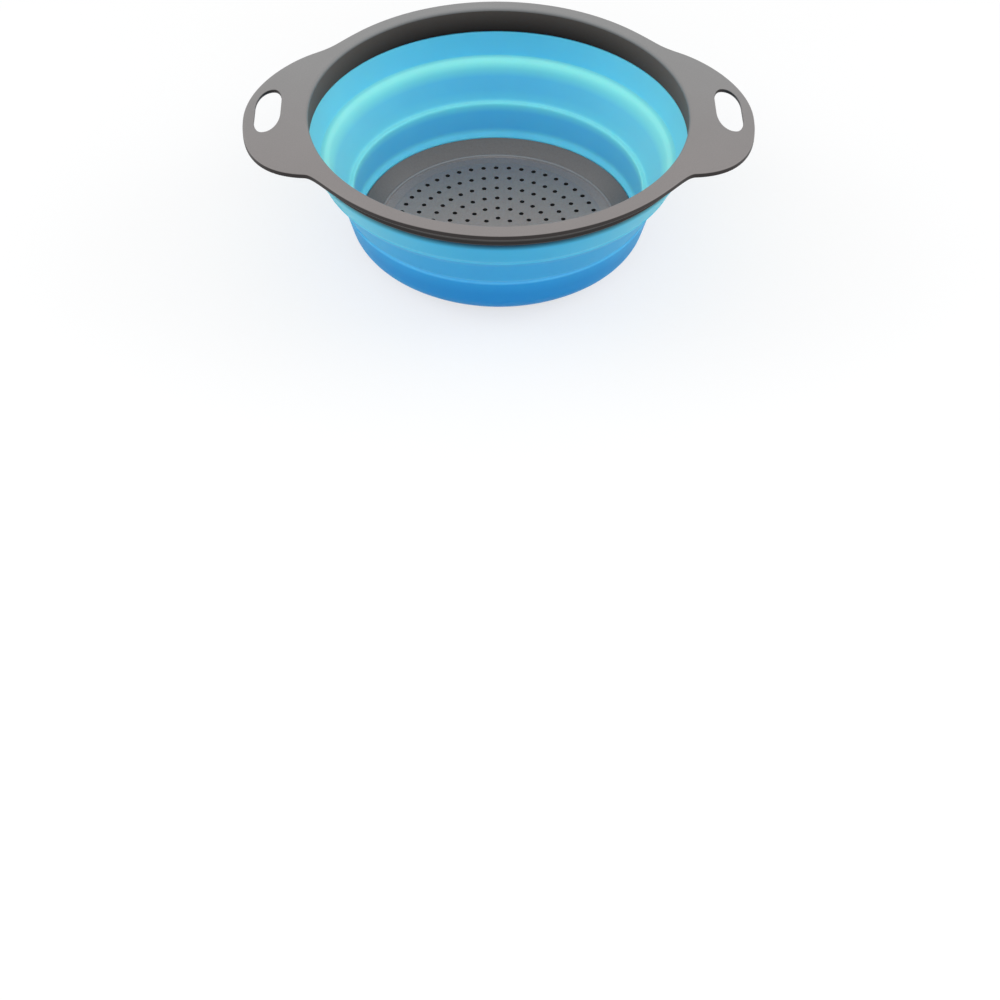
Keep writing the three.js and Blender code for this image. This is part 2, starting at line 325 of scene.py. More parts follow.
def eased(values: Array, start: float, end: float) -> Array:
    """Goes smoothly from 0 at start to 1 at end: 3 t^2 - 2 t^3, where t is the share of the way."""
    t = np.clip((values - start) / (end - start), 0, 1)
    return t * t * (3 - 2 * t)


def flat_normals_win(piece: Piece) -> None:
    """Lets large flat faces keep their own normal beside a small rounding.

    Args:
        piece: Piece that gets the modifier.
    """
    modifier = piece.modifiers.new("flat faces keep their normal", "WEIGHTED_NORMAL")
    modifier.mode = "FACE_AREA"
    modifier.weight = 100
    modifier.keep_sharp = True


def filled(loops: list[Array], starts: list[int]) -> Array:
    """Fills a flat outline with holes by triangles.

    Args:
        loops: Plan points of the outline and of each hole.
        starts: Number of the first point of each loop in the piece.

    Returns:
        Three point numbers for each triangle.
    """
    flat = [[Vector((x, y, 0)) for x, y in loop] for loop in loops]
    numbers = np.concatenate([start + np.arange(len(loop)) for loop, start in zip(loops, starts)])
    return numbers[np.array(tessellate_polygon(flat), int)]


def pierced_plate(plan: Array, loop_sizes: list[int], centres: Array, radius: float) -> Array:
    """Joins the points of a round plate by well-shaped triangles and leaves its round holes open.

    The triangles are a constrained Delaunay net of all points, less those whose middle is nearer to the
    centre of a hole than the hole's sides are.

    Args:
        plan: Plan points: the closed loops one after the other, then the free points between them.
        loop_sizes: Number of points of each loop.
        centres: Centres of the holes.
        radius: Distance from a hole's centre to the middle of its sides.

    Returns:
        Three point numbers for each triangle.
    """
    starts = np.cumsum([0] + loop_sizes)
    loops = zip(starts, map(np.arange, loop_sizes))
    edges = np.concatenate([start + np.stack([own, (own + 1) % len(own)], -1) for start, own in loops])
    net = delaunay_2d_cdt([Vector(p) for p in plan.tolist()], edges.tolist(), [], 0, TINY)
    _, _, net_triangles, net_sources, *_ = net
    source = np.array([numbers[0] for numbers in net_sources])
    triangles = source[np.array(net_triangles, int)]
    middle = plan[triangles].mean(1)
    nearest = np.hypot(*(middle[:, None] - centres[None]).transpose(2, 0, 1)).min(1)
    return triangles[nearest > radius]


def evenly_spaced(loop: Array, count: int) -> Array:
    """Places points along a closed curve at even distances.

    The distance run so far is added up along the curve, and x and y are read off at even shares of it.

    Args:
        loop: Points of the closed curve, close together.
        count: Number of points wanted.

    Returns:
        The new points, running anticlockwise.
    """
    x, y = loop.T
    if np.sum(x * np.roll(y, -1) - np.roll(x, -1) * y) < 0:
        loop = loop[::-1]
    ring = np.vstack([loop, loop[:1]])
    run = np.concatenate([[0], np.cumsum(np.hypot(*np.diff(ring, axis=0).T))])
    wanted = np.arange(count) * run[-1] / count
    return np.stack([np.interp(wanted, run, ring[:, k]) for k in (0, 1)], -1)


def outward(loop: Array) -> Array:
    """Unit normals of a closed anticlockwise curve: the way between its neighbours, turned right."""
    way = np.roll(loop, -1, 0) - np.roll(loop, 1, 0)
    return np.stack([way[:, 1], -way[:, 0]], -1) / np.hypot(*way.T)[:, None]


def edge_strip(loop: Array, inwards: Array, section: Array) -> Array:
    """Carries a section of depths and heights along a plate's edge: loop + depth times the way inwards."""
    plan = loop + section[:, :1, None] * inwards
    return at_height(plan, section[:, 1:, None]).reshape(-1, 3)


def rounded_edge(top: float, bottom: float, radii: Pair, steps: int) -> Array:
    """Section of a plate's edge, rounded at the top and at the bottom by quarter circles.

    Args:
        top: Height of the top face.
        bottom: Height of the bottom face.
        radii: Radius of the rounding at the top and of that at the bottom.
        steps: Steps in each quarter circle.

    Returns:
        Depth into the plate and height of each point, from the top face down.
    """
    angle = np.linspace(0, np.pi / 2, steps + 1)
    quarter = np.stack([1 - np.sin(angle), 1 - np.cos(angle)], -1)
    upper = (0, top) + radii[0] * quarter * (1, -1)
    lower = (0, bottom) + radii[1] * quarter[::-1]
    return np.vstack([upper, lower])


def heading(degrees: float) -> Array:
    """Unit way in the plan, by its angle from +X."""
    return circle_points(np.radians(degrees))


def eased_curve(stops: tuple[Triple, Triple], reaches: Pair, count: int) -> Array:
    """Cubic curve of four points, weighted by (1-t)^3, 3t(1-t)^2, 3t^2(1-t) and t^3.

    The first and the last are the stops. The second lies ahead of the first stop and the third behind
    the last one, each by its reach along the stop's heading.

    Args:
        stops: x, y and heading in degrees of the first stop and of the last.
        reaches: Reach at the first stop and at the last.
        count: Number of points, the last one left out.

    Returns:
        Points along the curve.
    """
    start, end = (np.array(stop[:2]) for stop in stops)
    leave = start + heading(stops[0][2]) * reaches[0]
    arrive = end - heading(stops[1][2]) * reaches[1]
    t = (np.arange(count) / count)[:, None]
    s = 1 - t
    return s**3 * start + 3 * t * s**2 * leave + 3 * t**2 * s * arrive + t**3 * end


# Finishes


def clouded(tree: Tree, colour: Socket, noise: Node, lowest: float, highest: float) -> Socket:
    """Multiplies a colour by a level that follows a noise.

    Args:
        tree: Node tree of the material.
        colour: Colour to vary.
        noise: Noise that the level follows.
        lowest: Level at the noise's low end.
        highest: Level at its high end.

    Returns:
        The varied colour.
    """
    low, high = NOISE_RANGE
    span = {"From Min": low, "From Max": high, "To Min": lowest, "To Max": highest}
    level = add_node(tree, "MapRange", {"Value": noise.outputs["Fac"]} | span).outputs["Result"]
    factors = {MIX_SHARE: 1.0, MIX_FIRST: colour, MIX_SECOND: level}
    mixed = add_node(tree, "Mix", factors, data_type="RGBA", blend_type="MULTIPLY")
    return mixed.outputs[MIX_RESULT]


def skin_inputs(tree: Tree, grain: Node, depth_mm: float, roughness: float) -> dict[str, Socket]:
    """Lifts the surface a little by its grain and lets its gloss follow, as a mould's etched skin does.

    Args:
        tree: Node tree of the material.
        grain: Noise of the grain.
        depth_mm: Height of the grain, in millimetres.
        roughness: Roughness halfway up the grain.

    Returns:
        The shader's inputs that come of it.
    """
    height, spread = grain.outputs["Fac"], ROUGHNESS_SPREAD
    relief = {"Height": height, "Distance": depth_mm * METRES_PER_MM, "Strength": 1.0}
    dull = {"Value": height, "To Min": roughness - spread, "To Max": roughness + spread}
    return {
        "Normal": add_node(tree, "Bump", relief).outputs["Normal"],
        "Roughness": add_node(tree, "MapRange", dull).outputs["Result"],
    }


@dataclass(frozen=True)
class MouldedPolypropylene:
    """Polypropylene from a spark-eroded mould: a satin skin with a fine even grain and faint flow clouds.

    The real grain is about 0.1 mm, too fine to show, so it is drawn at grain_mm. The colour shifts a
    little from the front of the moulding to its back, a painted light and shade. A second colour, if
    there is one, is painted light too: a painted shade on some pieces and a painted highlight on others.
    It comes in by the share that the piece stores under share_name.
    """

    name: str
    front_colour: str
    back_colour: str
    painted_light_colour: str | None = None
    share_name: str = "painted_light_share"
    front_back_shade_mm: Pair = (-90.0, 90.0)
    cloud_share: float = 0.03
    cloud_mm: float = 60.0
    roughness: float = 0.46
    specular: float = 0.45
    ior: float = 1.49
    grain_mm: float = 0.8
    grain_depth_mm: float = 0.02
    speckle: float = 0.04

    def make(self) -> Material:
        """Builds the material.

        Returns:
            The material, which any number of pieces may share.
        """
        material, tree = empty_material(self.name)
        place = add_node(tree, "TexCoord", {}).outputs["Object"]
        broad = {"Vector": place, "Scale": MM_PER_METRE / self.cloud_mm, "Detail": 3.0, "Roughness": 0.55}
        fine = {"Vector": place, "Scale": MM_PER_METRE / self.grain_mm, "Detail": 2.0, "Roughness": 0.6}
        clouds, grain = (add_node(tree, "TexNoise", look) for look in (broad, fine))
        # Painted light and shade: the colour shifts between the front and the back by the light that falls
        # there.
        front, back = (y * METRES_PER_MM for y in self.front_back_shade_mm)
        depth = add_node(tree, "SeparateXYZ", {"Vector": place}).outputs["Y"]
        span = {"Value": depth, "From Min": front, "From Max": back}
        front_back_shade = add_node(tree, "MapRange", span, interpolation_type="SMOOTHSTEP")
        layers = [(front_back_shade.outputs["Result"], self.back_colour)]
        # The second colour is painted light: a painted shade on some pieces, a painted highlight on
        # others.
        if self.painted_light_colour:
            stored = add_node(tree, "Attribute", {}, attribute_name=self.share_name)
            layers.append((stored.outputs["Fac"], self.painted_light_colour))
        colour = linear(self.front_colour)
        for share, tone in layers:
            pair = {MIX_SHARE: share, MIX_FIRST: colour, MIX_SECOND: linear(tone)}
            colour = add_node(tree, "Mix", pair, data_type="RGBA").outputs[MIX_RESULT]
        for noise, swing in ((clouds, self.cloud_share), (grain, self.speckle)):
            colour = clouded(tree, colour, noise, 1 - swing, 1 + swing)
        plastic = {"Base Color": colour, "IOR": self.ior, "Specular IOR Level": self.specular}
        skin = skin_inputs(tree, grain, self.grain_depth_mm, self.roughness)
        shader = add_node(tree, "BsdfPrincipled", plastic | skin)
        add_node(tree, "OutputMaterial", {"Surface": shader.outputs["BSDF"]})
        return material


@dataclass(frozen=True)
class TintedSilicone:
    """Compression-moulded silicone rubber: satin, faintly cloudy, and light passes some way into it.

    Round shoulders and thin rims let light through and look pale and greenish, thick walls deep blue, so
    Its colour is the one that the bowl stores along its wall: deep blue bands, with painted highlights on
    the round shoulders, the hinges and the lip, a painted shadow under the clamp ring, and painted light
    on the sides toward the handles. A soft sheen lightens it where it is seen along the surface. The pits
    of its skin are too fine to show, so they are drawn at skin_mm.
    """

    name: str
    colour_name: str
    roughness: float = 0.48
    specular: float = 0.1
    ior: float = 1.41
    sheen: float = 0.04
    sheen_roughness: float = 0.4
    sheen_colour: str = "#ccfff8"
    scatter_mm: float = 1.2
    scatter_by_colour: Triple = (0.6, 0.9, 1.0)
    cloud_mm: float = 35.0
    cloud_share: float = 0.04
    skin_mm: float = 1.2
    skin_depth_mm: float = 0.012

    def make(self) -> Material:
        """Builds the material.

        Returns:
            The material, which any number of pieces may share.
        """
        material, tree = empty_material(self.name)
        place = add_node(tree, "TexCoord", {}).outputs["Object"]
        wall = add_node(tree, "Attribute", {}, attribute_name=self.colour_name)
        clouds, pits = (
            add_node(tree, "TexNoise", {"Vector": place, "Scale": MM_PER_METRE / size, "Detail": 2.0})
            for size in (self.cloud_mm, self.skin_mm)
        )
        rubber = {
            "Base Color": clouded(tree, wall.outputs["Color"], clouds, 1 - self.cloud_share, 1.0),
            "IOR": self.ior,
            "Specular IOR Level": self.specular,
            "Subsurface Weight": 1.0,
            "Subsurface Radius": self.scatter_by_colour,
            "Subsurface Scale": self.scatter_mm * METRES_PER_MM,
            "Sheen Weight": self.sheen,
            "Sheen Roughness": self.sheen_roughness,
            "Sheen Tint": linear(self.sheen_colour),
        }
        skin = skin_inputs(tree, pits, self.skin_depth_mm, self.roughness)
        shader = add_node(tree, "BsdfPrincipled", rubber | skin, subsurface_method="RANDOM_WALK")
        add_node(tree, "OutputMaterial", {"Surface": shader.outputs["BSDF"]})
        return material


# Sub-assemblies


@dataclass
class RimFrame:
    """Flange, two slotted handles and the skirt that lines the mouth, one moulding."""

    finish: MouldedPolypropylene
    painted_shade_skirt_finish: MouldedPolypropylene
    top: float = 82.5
    thickness: float = 2.9
    edge_roundings: Pair = (0.55, 0.55)
    slot_roundings: Pair = (0.55, 1.4)
    rim_radius: float = 109.0
    mouth_radius: float = 100.8
    mouth_fillet: float = 3.2
    mouth_flat: float = 0.5
    mouth_shift: float = 0.8
    mouth_shift_heights: Pair = (79.6, 81.5)
    painted_shade_skirt_depth: float = 2.0
    skirt_thickness: float = 1.1
    skirt_depth: float = 14.5
    skirt_rounding: float = 0.5
    skirt_root_rounding: float = 0.4
    skirt_root_width: float = 1.0
    handle_rise: float = 25.6
    handle_tip_offset: float = -6.2
    back_join: float = 45.5
    front_join: float = -74.3
    waist_degrees: float = 29.4
    waist_rises: Pair = (5.5, 6.1)
    waist_headings: Pair = (-32.0, -176.8)
    curve_reaches: tuple[Pair, ...] = ((17.9, 13.7), (18.2, 28.7), (30.0, 24.2), (8.7, 51.9))
    slot_middle: float = 13.0
    slot_half_width: float = 6.7
    slot_length: float = 39.6
    slot_offset: float = 1.1
    slot_end_lean: float = 2.3
    slot_long_corner: float = 17.7
    slot_short_corner: float = 10.0
    # Painted shade on the edges and the skirt, and a painted highlight on the outline's lower arris.
    painted_side_shade_heights: Pair = (82.35, 81.95)
    painted_arris_highlight_heights: Pair = (80.15, 79.9)
    painted_arris_highlight_share: float = 0.2
    painted_skirt_shade_heights: Pair = (82.45, 80.0)
    painted_skirt_shade_share: Pair = (0.66, 1.0)
    outline_points: int = 900
    slot_points: int = 200
    ring_points: int = 288
    curve_points: int = 120
    arc_points: int = 200
    quarter_points: int = 60
    edge_steps: int = 6
    skirt_steps: int = 10

    def stop(self, angle: float, rise: float, way: float) -> Triple:
        """Stop of the handle's outline at an angle and a rise above the rim, with its heading."""
        return (*(heading(angle) * (self.rim_radius + rise)), way)

    def handle_outline(self) -> Array:
        """Right handle's outline, from its join at the back of the rim to its join in front.

        Four cubic curves in a row, through the waist behind, the tip and the waist in front.

        Returns:
            Plan points, close together.
        """
        stops = (
            self.stop(self.back_join, 0.0, self.back_join - 90),
            self.stop(self.waist_degrees, self.waist_rises[0], self.waist_headings[0]),
            (self.rim_radius + self.handle_rise, self.handle_tip_offset, -90),
            self.stop(-self.waist_degrees, self.waist_rises[1], self.waist_headings[1]),
            self.stop(self.front_join, 0.0, self.front_join - 90),
        )
        curves = zip(zip(stops, stops[1:]), self.curve_reaches)
        return np.vstack([eased_curve(ends, reaches, self.curve_points) for ends, reaches in curves])

    def outline(self) -> Array:
        """Whole outline of the flange: the right handle, the front arc, the left handle, the back arc.

        Returns:
            Plan points at even distances.
        """
        right = self.handle_outline()
        left = (right * (-1, 1))[::-1]
        ends = ((self.front_join, -180 - self.front_join), (180 - self.back_join, self.back_join))
        angles = (np.radians(np.linspace(*pair, self.arc_points, endpoint=False)) for pair in ends)
        front, behind = (self.rim_radius * circle_points(arc) for arc in angles)
        return evenly_spaced(np.vstack([right, front, left, behind]), self.outline_points)

    def slot_outline(self) -> Array:
        """Right handle's finger slot: a long and a short quarter ellipse, and the two turned by half.

        Returns:
            Plan points at even distances.
        """
        half_length, lean = self.slot_length / 2, self.slot_end_lean
        quarters = []
        for corner, width, start in (
            (self.slot_long_corner, self.slot_half_width + lean, 0.0),
            (self.slot_short_corner, self.slot_half_width - lean, np.pi / 2),
        ):
            arc = circle_points(start + np.linspace(0, np.pi / 2, self.quarter_points))
            quarters.append(arc * (width, corner) + (-lean, half_length - corner))
        back = np.vstack(quarters)
        middle = (self.rim_radius + self.slot_middle, self.slot_offset)
        return evenly_spaced(np.vstack([back, -back]) + middle, self.slot_points)

    def skirt(self) -> Array:
        """Mouth's rounded edge and the skirt, turned round the axis, the edge moved back a little.

        Returns:
            Points, row after row, each row one ring.
        """
        bottom, end = self.top - self.thickness, self.top - self.skirt_depth
        inner, outer = self.mouth_radius, self.mouth_radius + self.skirt_thickness
        corners = (
            (inner + self.mouth_fillet + self.mouth_flat, self.top, 0),
            (inner, self.top, self.mouth_fillet),
            (inner, end, self.skirt_rounding),
            (outer, end, self.skirt_rounding),
            (outer, bottom, self.skirt_root_rounding),
            (outer + self.skirt_root_width, bottom, 0),
        )
        section = rounded(corners, self.skirt_steps, closed=False)
        points = revolved(section, ring_angles(self.ring_points))
        points[:, 1] += self.mouth_shift * eased(points[:, 2], *self.mouth_shift_heights)
        return points

    def painted_shade_shares(self, strips: list[Array]) -> Array:
        """Share of the dark colour, which comes in by height on every side and down the skirt.

        The dark colour is a painted shade on the sides and down the skirt. The outline's lower arris is
        paler, a painted highlight, and the skirt's painted shade is lighter toward the handles, by the
        fourth power of the cosine of the angle from them.

        Args:
            strips: Points of the outline's edge, of the slots' edges and of the skirt.

        Returns:
            Share for each point, strip after strip.
        """
        shares = [eased(strip[:, 2], *self.painted_side_shade_heights) for strip in strips[:-1]]
        shares[0] -= self.painted_arris_highlight_share * eased(strips[0][:, 2], *self.painted_arris_highlight_heights)
        x, y, height = strips[-1].T
        at_sides, behind = self.painted_skirt_shade_share
        most = behind + (at_sides - behind) * (x**2 / (x**2 + y**2)) ** 2
        return np.concatenate([*shares, most * eased(height, *self.painted_skirt_shade_heights)])

    def build(self) -> None:
        """Makes the moulding: an edge strip round each outline, the skirt, and two flat fills."""
        levels = self.top, self.top - self.thickness
        edge = rounded_edge(*levels, self.edge_roundings, self.edge_steps)
        slot_edge = rounded_edge(*levels, self.slot_roundings, self.edge_steps)
        outline, slot = self.outline(), self.slot_outline()
        strips = [edge_strip(outline, -outward(outline), edge)]
        strips += [edge_strip(s, outward(s), slot_edge) for s in (slot, (slot * (-1, 1))[::-1])]
        strips.append(self.skirt())
        counts = [self.outline_points, self.slot_points, self.slot_points, self.ring_points]
        starts = np.cumsum([0] + [len(s) for s in strips])
        rows = [len(s) // n for s, n in zip(strips, counts)]
        faces = [start + band_faces(r, n, False) for start, r, n in zip(starts, rows, counts)]
        upper = [s[:n, :2] for s, n in zip(strips, counts)]
        lower = [s[-n:, :2] for s, n in zip(strips, counts)]
        faces.append(filled(upper, list(starts[:-1])))
        faces.append(filled(lower, [end - n for end, n in zip(starts[1:], counts)]))
        points = np.vstack(strips)
        piece = make_piece("rim_frame_moulding", points, faces, self.finish.make())
        slots = [np.zeros(len(f), int) for f in faces]
        # The skirt below the mouth's edge takes the material that paints the shade under the flange.
        skirt, painted_shade_slot = len(strips) - 1, 1
        below_edge = points[faces[skirt], 2].mean(1) < self.top - self.painted_shade_skirt_depth
        slots[skirt][below_edge] = painted_shade_slot
        dress_faces(piece, [self.painted_shade_skirt_finish.make()], slots)
        # Stores the painted shade of the edges and the skirt, and the painted highlight on the lower
        # arris.
        store(piece, self.finish.share_name, self.painted_shade_shares(strips))
        flat_normals_win(piece)
        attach(piece, Body.RIM.value)
        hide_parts("rim_frame")


@dataclass
class ClampRing:
    """Ring under the flange that holds the bowl's bead, parted from the flange by a fine line that a
    painted highlight marks.
    """

    finish: MouldedPolypropylene
    top: float = 79.55
    bead_radius: float = 105.7
    bead_floor: float = 77.7
    inner_radius: float = 104.6
    outer_radius: float = 107.0
    side_height: float = 4.1
    taper_height: float = 0.9
    lip: float = 1.6
    roundings: tuple[float, ...] = (0.2, 0.2, 0.2, 0.3, 0.5, 0.8, 0.3)
    painted_highlight_line_heights: Pair = (77.3, 77.7)
    longest_part: float = 0.3
    arc_steps: int = 5
    ring_points: int = 288

    def build(self) -> None:
        """Makes the ring, with a painted highlight line where it leaves the flange's shadow."""
        taper_top = self.top - self.side_height
        bottom = taper_top - self.taper_height
        corners = (
            (self.bead_radius, self.top),
            (self.bead_radius, self.bead_floor),
            (self.inner_radius, self.bead_floor),
            (self.inner_radius, bottom),
            (self.inner_radius + self.lip, bottom),
            (self.outer_radius, taper_top),
            (self.outer_radius, self.top),
        )
        section = rounded(with_roundings(corners, self.roundings), self.arc_steps)
        section = refined(section, self.longest_part)
        points = revolved(section, ring_angles(self.ring_points))
        faces = [band_faces(len(section), self.ring_points, True)]
        piece = make_piece("clamp_ring_moulding", points, faces, self.finish.make())
        # Painted highlight along the ring's top, just below the flange.
        store(piece, self.finish.share_name, eased(points[:, 2], *self.painted_highlight_line_heights))
        flat_normals_win(piece)
        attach(piece, Body.RIM.value)
        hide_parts("rim_clamp_ring")


class Tone(Enum):
    """Silicone's colour at each place of the wall: the rubber's blue, with painted highlights, a painted
    shadow and painted side light.
    """

    UPPER = "#61cae9"
    CREASE_PAINTED_HIGHLIGHT = "#7adeeb"
    SHOULDER_PAINTED_HIGHLIGHT = "#9ef9f6"
    MIDDLE = "#62c7ed"
    HINGE_SIDE_PAINTED_HIGHLIGHT = "#6cd2ee"
    HINGE_LINE_PAINTED_HIGHLIGHT = "#8cecfc"
    LOWER_TOP_PAINTED_LIGHT = "#78e4ff"
    LOWER = "#61c8ff"
    LIP_PAINTED_HIGHLIGHT = "#75dcff"
    OUTER_PAINTED_SIDE_LIGHT = "#9af6e8"
    OUTER_PAINTED_RING_SHADOW = "#1e4054"
    OUTER_PAINTED_SHADOW_FADE = "#2a7494"
    OUTER_UPPER = "#3daedc"
    OUTER_LINE_PAINTED_HIGHLIGHT = "#5abce2"
    OUTER_MIDDLE = "#36a4de"
    OUTER_HINGE_PAINTED_HIGHLIGHT = "#5ebcea"
    OUTER_LOWER_TOP = "#2c9ada"
    OUTER_LOWER = "#228dd0"


@dataclass
class SiliconeBowl:
    """Folding bowl, one piece: bead, collar, three bands parted by thin hinge lines, and the lip below.

    Its section runs down the inside corners and up the outside ones. A row of a colour table gives a
    height, the colour there, and the share of the side's pale colour, a painted light, that it takes at
    the handles.
    """

    finish: TintedSilicone
    lower_hinge: float = 34.0
    upper_hinge: float = 55.6
    longest_part: float = 1.0
    arc_steps: int = 5
    ring_points: int = 256
    inside: Corners = (
        (102.0, 79.55, 0.2), (102.0, 67.7, 0.2), (100.8, 67.7, 0.5), (95.4, 55.9, 0.4),
        (91.8, 55.5, 7.0), (81.2, 35.5, 0.5), (80.4, 34.9, 0.4), (78.5, 35.0, 0.7),
        (78.2, 33.8, 0.5), (77.3, 16.6, 2.5), (75.2, 14.2, 0.3), (75.2, 11.0, 0.3),
        (61.3, 4.0, 0.3),
    )
    outside: Corners = (
        (61.3, 2.7, 0.4), (62.8, 2.7, 1.0), (72.6, 8.4, 20.0), (79.4, 14.4, 14.0),
        (84.3, 32.9, 0.5), (83.3, 33.9, 0.4), (84.6, 35.0, 0.6), (93.4, 51.2, 12.0),
        (96.4, 55.0, 0.5), (96.1, 55.5, 0.3), (96.7, 56.5, 0.6), (104.4, 70.6, 10.0),
        (104.4, 78.0, 0.2), (105.5, 78.0, 0.3), (105.5, 79.55, 0.3),
    )
    # Painted highlights on the shoulder, the hinge and the lip, and painted light at the top of the lower
    # band; the third column paints the sides lighter toward the handles.
    inside_colours: tuple[tuple[float, Tone, float], ...] = (
        (14.2, Tone.LIP_PAINTED_HIGHLIGHT, 0.1),
        (17.0, Tone.LIP_PAINTED_HIGHLIGHT, 0.1),
        (19.0, Tone.LOWER, 0.08),
        (29.5, Tone.LOWER, 0.08),
        (33.4, Tone.LOWER_TOP_PAINTED_LIGHT, 0.1),
        (34.3, Tone.HINGE_LINE_PAINTED_HIGHLIGHT, 0.2),
        (35.0, Tone.HINGE_LINE_PAINTED_HIGHLIGHT, 0.2),
        (35.8, Tone.HINGE_SIDE_PAINTED_HIGHLIGHT, 0.26),
        (40.5, Tone.MIDDLE, 0.34),
        (47.0, Tone.MIDDLE, 0.34),
        (50.8, Tone.CREASE_PAINTED_HIGHLIGHT, 0.42),
        (54.0, Tone.SHOULDER_PAINTED_HIGHLIGHT, 0.0),
        (55.6, Tone.SHOULDER_PAINTED_HIGHLIGHT, 0.0),
        (55.92, Tone.CREASE_PAINTED_HIGHLIGHT, 0.2),
        (56.15, Tone.UPPER, 0.25),
        (58.0, Tone.UPPER, 0.28),
    )
    # Painted highlights along the two outer hinge lines, a painted shadow fading in under the clamp ring,
    # and in the third column painted light on the sides toward the handles.
    outside_colours: tuple[tuple[float, Tone, float], ...] = (
        (24.0, Tone.OUTER_LOWER, 0.02),
        (32.2, Tone.OUTER_LOWER_TOP, 0.02),
        (33.0, Tone.OUTER_HINGE_PAINTED_HIGHLIGHT, 0.02),
        (34.8, Tone.OUTER_HINGE_PAINTED_HIGHLIGHT, 0.02),
        (35.8, Tone.OUTER_MIDDLE, 0.0),
        (54.4, Tone.OUTER_MIDDLE, 0.05),
        (55.0, Tone.OUTER_LINE_PAINTED_HIGHLIGHT, 0.3),
        (56.5, Tone.OUTER_LINE_PAINTED_HIGHLIGHT, 0.4),
        (57.5, Tone.OUTER_UPPER, 0.45),
        (69.2, Tone.OUTER_UPPER, 0.45),
        (71.5, Tone.OUTER_PAINTED_SHADOW_FADE, 0.35),
        (73.0, Tone.OUTER_PAINTED_RING_SHADOW, 0.2),
    )

    def section(self) -> Array:
        """Closed section, down the inside and up the outside, with every corner rounded.

        Returns:
            Radius, height and 1 on the inside or 0 on the outside, for each point.
        """
        corners = rounded(self.inside + self.outside, self.arc_steps)
        on_inside = np.arange(len(corners)) < len(self.inside) * (self.arc_steps + 1)
        return refined(np.column_stack([corners, on_inside]), self.longest_part)

    def colours(self, section: Array) -> Array:
        """Colour of every point: its side's table read by height, then drawn to that side's pale colour.

        The pale colour is painted light that lightens the sides; its share is the table's share times
        cos^2 of the angle from the handles.

        Args:
            section: Radius, height and share of the inside of each point.

        Returns:
            Red, green, blue and alpha of each point, row after row as the points are.
        """
        sides = []
        tables = (self.inside_colours, Tone.SHOULDER_PAINTED_HIGHLIGHT), (self.outside_colours, Tone.OUTER_PAINTED_SIDE_LIGHT)
        for table, pale in tables:
            heights = [height for height, _, _ in table]
            rows = [(*linear(own.value), share, *linear(pale.value)) for _, own, share in table]
            read = [np.interp(section[:, 1], heights, channel) for channel in np.array(rows).T]
            sides.append(np.stack(read, -1))
        along_wall = np.where(section[:, 2:] > 0.5, *sides)[:, None]
        own, share, pale = along_wall[..., :4], along_wall[..., 4:5], along_wall[..., 5:]
        # Painted light: the sides toward the handles are drawn lighter.
        share = share * np.cos(ring_angles(self.ring_points))[:, None] ** 2
        return (own + share * (pale - own)).reshape(-1, 4)

    def build(self) -> None:
        """Makes the bowl and stores its colours."""
        section = self.section()
        points = revolved(section[:, :2], ring_angles(self.ring_points))
        faces = [band_faces(len(section), self.ring_points, True)]
        piece = make_piece("silicone_bowl", points, faces, self.finish.make())
        store(piece, self.finish.colour_name, self.colours(section))
        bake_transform(piece)
        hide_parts("wall_upper", "wall_fold", "wall_lower")


